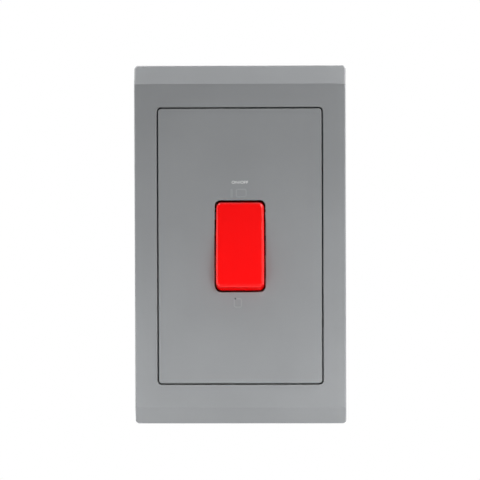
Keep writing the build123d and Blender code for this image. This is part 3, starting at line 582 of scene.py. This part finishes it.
# Soft boxes that the gloss shows: a key in front at the upper right, a pair over the top edge that
# catches the sloped strip, and two large ones behind
softBoxes = [
    {"name": "key", "placeMm": (300, -380, 260), "aimMm": (0, 0, 30),
     "sizeMm": 240, "watts": 1.06},
    {"name": "top_right", "placeMm": (260, 0, 360), "aimMm": (40, 0, 70),
     "sizeMm": 240, "watts": 1.68},
    {"name": "top_left", "placeMm": (-260, 0, 360), "aimMm": (-40, 0, 70),
     "sizeMm": 240, "watts": 1.57},
    {"name": "rear_left", "placeMm": (-340, 420, 260), "aimMm": (0, 20, 0),
     "sizeMm": 900, "watts": 2.2},
    {"name": "rear_right", "placeMm": (380, 400, -40), "aimMm": (0, 20, 0),
     "sizeMm": 760, "watts": 1.4},
]

# Fill lights that no gloss shows: a pair at the sides for the borders, and three small ones below
# that fade up the plate
fillBoxes = [
    {"name": "right_edge", "placeMm": (260, -40, -20), "aimMm": (40, 0, -10),
     "sizeMm": 160, "watts": 0.13},
    {"name": "left_edge", "placeMm": (-260, -40, -20), "aimMm": (-40, 0, -10),
     "sizeMm": 160, "watts": 0.246},
    {"name": "low_right", "placeMm": (120, -120, -110), "aimMm": (20, 0, -60),
     "sizeMm": 80, "watts": 0.192},
    {"name": "low_left", "placeMm": (-120, -120, -110), "aimMm": (-20, 0, -60),
     "sizeMm": 80, "watts": 0.168},
    {"name": "low_front", "placeMm": (20, -220, -110), "aimMm": (0, 0, -60),
     "sizeMm": 120, "watts": 0.054},
]


def addSoftBox(spec, shine):
    data = bpy.data.lights.new(spec["name"], "AREA")
    data.shape = "SQUARE"
    data.size = spec["sizeMm"] * mm
    data.energy = spec["watts"]
    lamp = bpy.data.objects.new(spec["name"], data)
    scene.collection.objects.link(lamp)
    lamp.location = Vector(spec["placeMm"]) * mm
    towards = Vector(spec["aimMm"]) * mm - lamp.location
    lamp.rotation_euler = towards.to_track_quat("-Z", "Y").to_euler()
    lamp.visible_camera = False
    lamp.visible_glossy = shine


for box in softBoxes:
    addSoftBox(box, True)
for box in fillBoxes:
    addSoftBox(box, False)

# White surroundings for what the eye and the gloss see, dimmer for the gloss in front where the room
# is dark, and a faint light all round for the object itself
surroundings = {
    "seen": "#ffffff", "frontGloss": 0.06, "frontFrom": -0.8, "frontTo": -0.2,
    "ambient": "#ffffff", "ambientStrength": 0.02,
}


def backdropWhite(tree, where, dimY, whiteY):
    # the camera's rays, those of gloss and clear materials, and how white the backdrop is to them
    rays = addNode(tree, "ShaderNodeLightPath").outputs
    shiny = addNode(tree, "ShaderNodeMath", {"operation": "MAXIMUM"}, {
        0: rays["Is Glossy Ray"], 1: rays["Is Transmission Ray"]})
    heading = addNode(tree, "ShaderNodeSeparateXYZ", {}, {"Vector": where})
    aside = addNode(tree, "ShaderNodeMapRange", {"interpolation_type": "SMOOTHSTEP"}, {
        "Value": heading.outputs["Y"], "From Min": dimY, "From Max": whiteY,
        "To Min": surroundings["frontGloss"]})
    strength = addNode(tree, "ShaderNodeMath", {"operation": "MAXIMUM"}, {
        0: rays["Is Camera Ray"], 1: aside.outputs["Result"]})
    return rays["Is Camera Ray"], shiny.outputs["Value"], strength.outputs["Value"]


def addSurroundings(spec):
    world = bpy.data.worlds.new("studio")
    world.use_nodes = True
    tree = world.node_tree
    tree.nodes.clear()
    where = addNode(tree, "ShaderNodeTexCoord").outputs["Generated"]
    eye, shiny, strength = backdropWhite(tree, where, spec["frontFrom"], spec["frontTo"])
    seen = addNode(tree, "ShaderNodeMath", {"operation": "MAXIMUM"}, {0: eye, 1: shiny})
    ambient = addNode(tree, "ShaderNodeBackground", {}, {
        "Color": linear(spec["ambient"]), "Strength": spec["ambientStrength"]})
    white = addNode(tree, "ShaderNodeBackground", {}, {
        "Color": linear(spec["seen"]), "Strength": strength})
    either = addNode(tree, "ShaderNodeMixShader", {}, {
        "Fac": seen.outputs["Value"],
        1: ambient.outputs["Background"], 2: white.outputs["Background"]})
    addNode(tree, "ShaderNodeOutputWorld", {}, {"Surface": either.outputs["Shader"]})
    scene.world = world


addSurroundings(surroundings)

# Pale floor under the plate, which keeps the shadow, fades to white at its rim and can't be seen from
# below
floorSpec = {
    "levelMm": -520.0, "radiusMm": 1100.0, "clearMm": 420.0, "sides": 96, "colour": "#f0f0ee",
    "frontFromMm": -160.0, "frontToMm": 80.0, "whiteShare": 0.6,
    "mottleMm": 25.0, "mottleDetail": 2.0, "smooth": 0.75, "rough": 0.9,
}


def floorMaterial(spec):
    material = newMaterial("paleFloor")
    tree = material.node_tree
    where = addNode(tree, "ShaderNodeTexCoord").outputs["Object"]
    flat = addNode(tree, "ShaderNodeVectorMath", {"operation": "MULTIPLY"}, {0: where, 1: (1, 1, 0)})
    reach = addNode(tree, "ShaderNodeVectorMath", {"operation": "LENGTH"}, {
        0: flat.outputs["Vector"]})
    fade = addNode(tree, "ShaderNodeMapRange", {"interpolation_type": "SMOOTHSTEP"}, {
        "Value": reach.outputs["Value"], "From Min": spec["clearMm"] * mm,
        "From Max": spec["radiusMm"] * mm, "To Min": spec["whiteShare"]})
    mottle = addNode(tree, "ShaderNodeTexNoise", {}, {
        "Vector": where, "Scale": 1 / (spec["mottleMm"] * mm), "Detail": spec["mottleDetail"]})
    dull = addNode(tree, "ShaderNodeMapRange", {}, {
        "Value": mottle.outputs["Fac"], "To Min": spec["smooth"], "To Max": spec["rough"]})
    matt = addNode(tree, "ShaderNodeBsdfPrincipled", {}, {
        "Base Color": linear(spec["colour"]), "Roughness": dull.outputs["Result"]})
    eye, shiny, strength = backdropWhite(
        tree, where, spec["frontFromMm"] * mm, spec["frontToMm"] * mm)
    glow = addNode(tree, "ShaderNodeEmission", {}, {
        "Color": linear(surroundings["seen"]), "Strength": strength})
    rim = addNode(tree, "ShaderNodeMath", {"operation": "MULTIPLY"}, {
        0: fade.outputs["Result"], 1: eye})
    share = addNode(tree, "ShaderNodeMath", {"operation": "MAXIMUM"}, {
        0: rim.outputs["Value"], 1: shiny})
    whole = addNode(tree, "ShaderNodeMixShader", {}, {
        "Fac": share.outputs["Value"], 1: matt.outputs["BSDF"], 2: glow.outputs["Emission"]})
    below = addNode(tree, "ShaderNodeNewGeometry").outputs["Backfacing"]
    clear = addNode(tree, "ShaderNodeBsdfTransparent")
    oneSided = addNode(tree, "ShaderNodeMixShader", {}, {
        "Fac": below, 1: whole.outputs["Shader"], 2: clear.outputs["BSDF"]})
    addNode(tree, "ShaderNodeOutputMaterial", {}, {"Surface": oneSided.outputs["Shader"]})
    return material


def addFloor(spec):
    form = bmesh.new()
    bmesh.ops.create_circle(
        form, cap_ends=True, radius=spec["radiusMm"] * mm, segments=spec["sides"])
    bmesh.ops.translate(form, verts=form.verts, vec=(0, 0, spec["levelMm"] * mm))
    mesh = bpy.data.meshes.new("floor")
    form.to_mesh(mesh)
    form.free()
    mesh.materials.append(floorMaterial(spec))
    floor = bpy.data.objects.new("floor", mesh)
    scene.collection.objects.link(floor)


addFloor(floorSpec)
print("studio lit")
